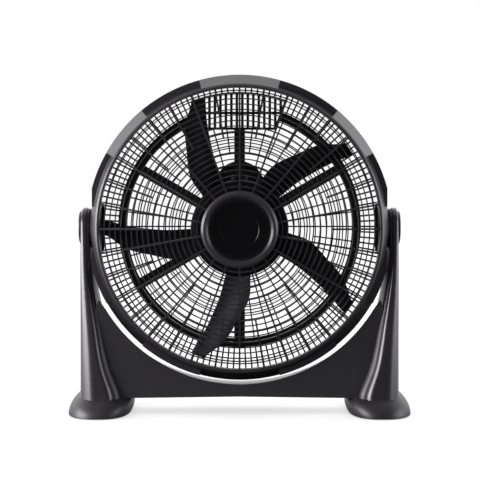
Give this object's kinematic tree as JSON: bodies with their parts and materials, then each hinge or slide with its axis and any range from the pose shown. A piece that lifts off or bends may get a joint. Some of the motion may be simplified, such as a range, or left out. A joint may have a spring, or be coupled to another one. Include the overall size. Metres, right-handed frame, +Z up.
{
  "type": "air circulator fan",
  "caption": "Floor-standing air circulator: a round drum with a domed front grille tilts between two columns on broad oval feet.",
  "frame": {"origin": "on the floor, in the middle between the two feet, under the tilt axis", "axes": "+X to the right seen from the front, +Z up, the fan blows towards -Y"},
  "size_m": [0.616, 0.2, 0.606],
  "materials": {
    "body": "satin",
    "grille": "satin",
    "badge": "gloss",
    "blades": "satin",
    "case": "matt",
    "rubber": "matt",
    "steel": "satin",
    "core": "satin",
    "alloy": "satin",
    "brass": "satin"
  },
  "bodies": {
    "stand": {"column_liner_left": "body", "column_liner_right": "body", "column_shell_left": "body", "column_shell_right": "body", "cross_web": "body", "foot_left": "body", "foot_pads": "rubber", "foot_right": "body", "foot_screws": "steel", "friction_washer_left": "rubber", "friction_washer_right": "rubber", "nut_washer_left": "steel", "nut_washer_right": "steel", "pivot_cap_left": "body", "pivot_cap_right": "body", "pivot_nut_left": "steel", "pivot_nut_right": "steel", "pivot_stud_left": "steel", "pivot_stud_right": "steel"},
    "head": {"drum": "body", "front_grille": "grille", "hub_badge": "badge", "rear_guard": "body", "guard_screws": "steel", "motor_front_bell": "alloy", "motor_rear_bell": "alloy", "stator_core": "core", "stator_windings": "brass", "front_bearing": "brass", "rear_bearing": "brass", "motor_bolts": "steel", "motor_nuts": "steel", "motor_cover": "body", "cover_screws": "steel", "cord_gland": "rubber", "speed_switch": "case", "capacitor": "case", "motor_leads": "case"},
    "rotor": {"blade_wheel": "blades", "spinner_nut": "blades", "motor_shaft": "steel", "rotor_core": "core"},
    "knob": {"speed_knob": "grille", "switch_spindle": "case"}
  },
  "joints": [
    {"name": "head_tilt", "type": "hinge", "parent": "stand", "child": "head", "pos_m": [0, 0, 0.333], "axis": [-1, 0, 0], "range_deg": [-20, 90]},
    {"name": "rotor_spin", "type": "hinge", "parent": "head", "child": "rotor", "pos_m": [0, 0, 0.333], "axis": [0, -1, 0], "continuous": true},
    {"name": "speed_select", "type": "hinge", "parent": "head", "child": "knob", "pos_m": [0, 0.0723, 0.408], "axis": [0, -1, 0], "range_deg": [0, 135]}
  ]
}
